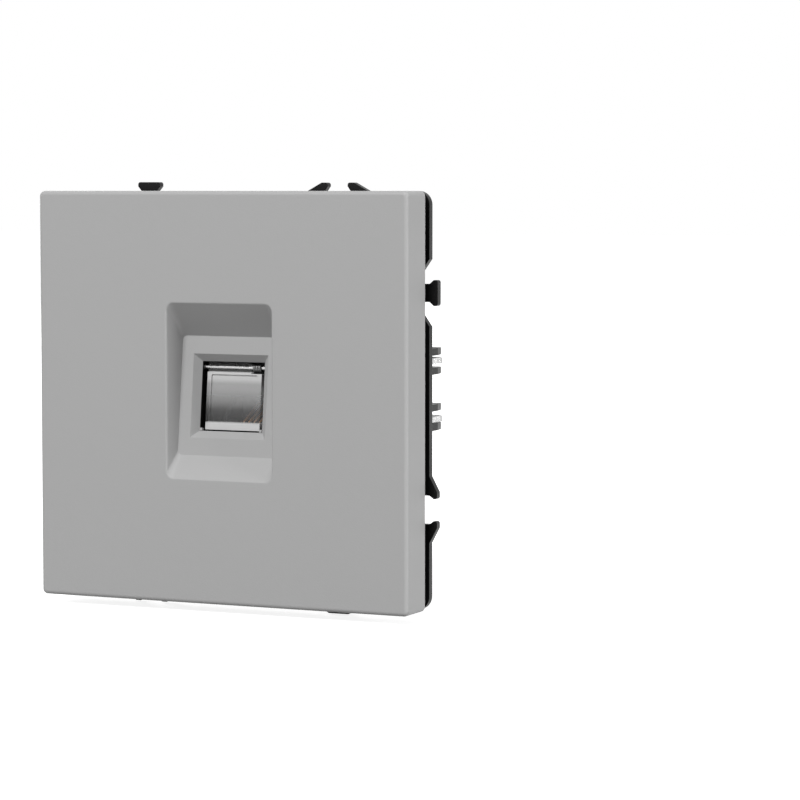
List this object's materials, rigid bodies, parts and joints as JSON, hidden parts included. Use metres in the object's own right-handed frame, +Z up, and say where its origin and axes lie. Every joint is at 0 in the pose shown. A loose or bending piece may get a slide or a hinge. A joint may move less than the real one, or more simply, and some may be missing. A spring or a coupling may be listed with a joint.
{
  "type": "telephone wall socket",
  "caption": "Square flush wall socket for a telephone plug: grey cover with a sunk shuttered window, dovetailed black support frame, round body with spreading claws and a rear jack module.",
  "frame": {"origin": "centre of the support frame's rear face, midway between the box screw slots, in the plane of the wall", "axes": "+X to the right seen from the room, +Z up, +Y into the wall; the cover faces -Y"},
  "size_m": [0.073, 0.0414, 0.073],
  "materials": {
    "cover_grey": "matte aluminium-grey moulding, very fine texture",
    "black_plastic": "moulded black plastic, satin",
    "smoked_clear": "polished grey moulding",
    "insert_grey": "dark grey moulding",
    "warm_zinc": "zinc plated, warm tint",
    "bright_steel": "bright drawn steel",
    "spring_steel": "dark spring wire",
    "zinc_plate": "zinc plated, bright",
    "gold_wire": "gold plated contact strip",
    "white_cap": "milky white moulding",
    "ivory_lever": "warm white moulding"
  },
  "bodies": {
    "housing": {"cover_plate": "cover_grey", "shutter_pin": "bright_steel", "shutter_spring": "spring_steel", "support_frame": "black_plastic", "housing_front": "black_plastic", "housing_rear": "black_plastic", "jack_carrier": "black_plastic", "jack_body": "insert_grey", "contact_comb": "black_plastic", "contact_1": "gold_wire", "contact_2": "gold_wire", "contact_3": "gold_wire", "contact_4": "gold_wire"},
    "shutter": {"dust_shutter": "smoked_clear"},
    "wire_cap": {"wire_cap": "white_cap"},
    "cap_latch": {"cap_latch": "ivory_lever"},
    "claw_drive_left": {"claw_yoke_left": "zinc_plate", "claw_washer_left": "warm_zinc"},
    "claw_screw_left": {"claw_screw_left": "zinc_plate"},
    "claw_left": {"claw_left": "bright_steel"},
    "claw_drive_right": {"claw_yoke_right": "zinc_plate", "claw_washer_right": "warm_zinc"},
    "claw_screw_right": {"claw_screw_right": "zinc_plate"},
    "claw_right": {"claw_right": "bright_steel"}
  },
  "joints": [
    {"name": "shutter_hinge", "type": "hinge", "parent": "housing", "child": "shutter", "pos_m": [0, -0.00358, 0.005], "axis": [1, 0, 0], "range_deg": [0, 75], "stiffness_Nm_per_rad": 0.00005, "springref_deg": -85.94},
    {"name": "cap_hinge", "type": "hinge", "parent": "housing", "child": "wire_cap", "pos_m": [0, 0.025, -0.00845], "axis": [1, 0, 0], "range_deg": [0, 70]},
    {"name": "latch_hinge", "type": "hinge", "parent": "wire_cap", "child": "cap_latch", "pos_m": [0, 0.0155, -0.0117], "axis": [1, 0, 0], "range_deg": [0, 35]},
    {"name": "claw_drive_left", "type": "slide", "parent": "housing", "child": "claw_drive_left", "axis": [0, 1, 0], "range_m": [0, 0.0016]},
    {"name": "claw_screw_left", "type": "hinge", "parent": "claw_drive_left", "child": "claw_screw_left", "pos_m": [-0.0202, 0.006, 0], "axis": [0, 1, 0], "range_deg": [0, 1152]},
    {"name": "claw_swing_left", "type": "hinge", "parent": "claw_drive_left", "child": "claw_left", "pos_m": [-0.0202, 0.00895, 0], "axis": [0, 0, 1], "range_deg": [0, 18]},
    {"name": "claw_drive_right", "type": "slide", "parent": "housing", "child": "claw_drive_right", "axis": [0, 1, 0], "range_m": [0, 0.0016]},
    {"name": "claw_screw_right", "type": "hinge", "parent": "claw_drive_right", "child": "claw_screw_right", "pos_m": [0.0202, 0.006, 0], "axis": [0, 1, 0], "range_deg": [0, 1152]},
    {"name": "claw_swing_right", "type": "hinge", "parent": "claw_drive_right", "child": "claw_right", "pos_m": [0.0202, 0.00895, 0], "axis": [0, 0, -1], "range_deg": [0, 18]}
  ],
  "couplings": [
    {"joint": "claw_screw_left", "follows": "claw_drive_left", "rad_per_m": 12566},
    {"joint": "claw_swing_left", "follows": "claw_drive_left", "rad_per_m": 196.35},
    {"joint": "claw_screw_right", "follows": "claw_drive_right", "rad_per_m": 12566},
    {"joint": "claw_swing_right", "follows": "claw_drive_right", "rad_per_m": 196.35}
  ]
}
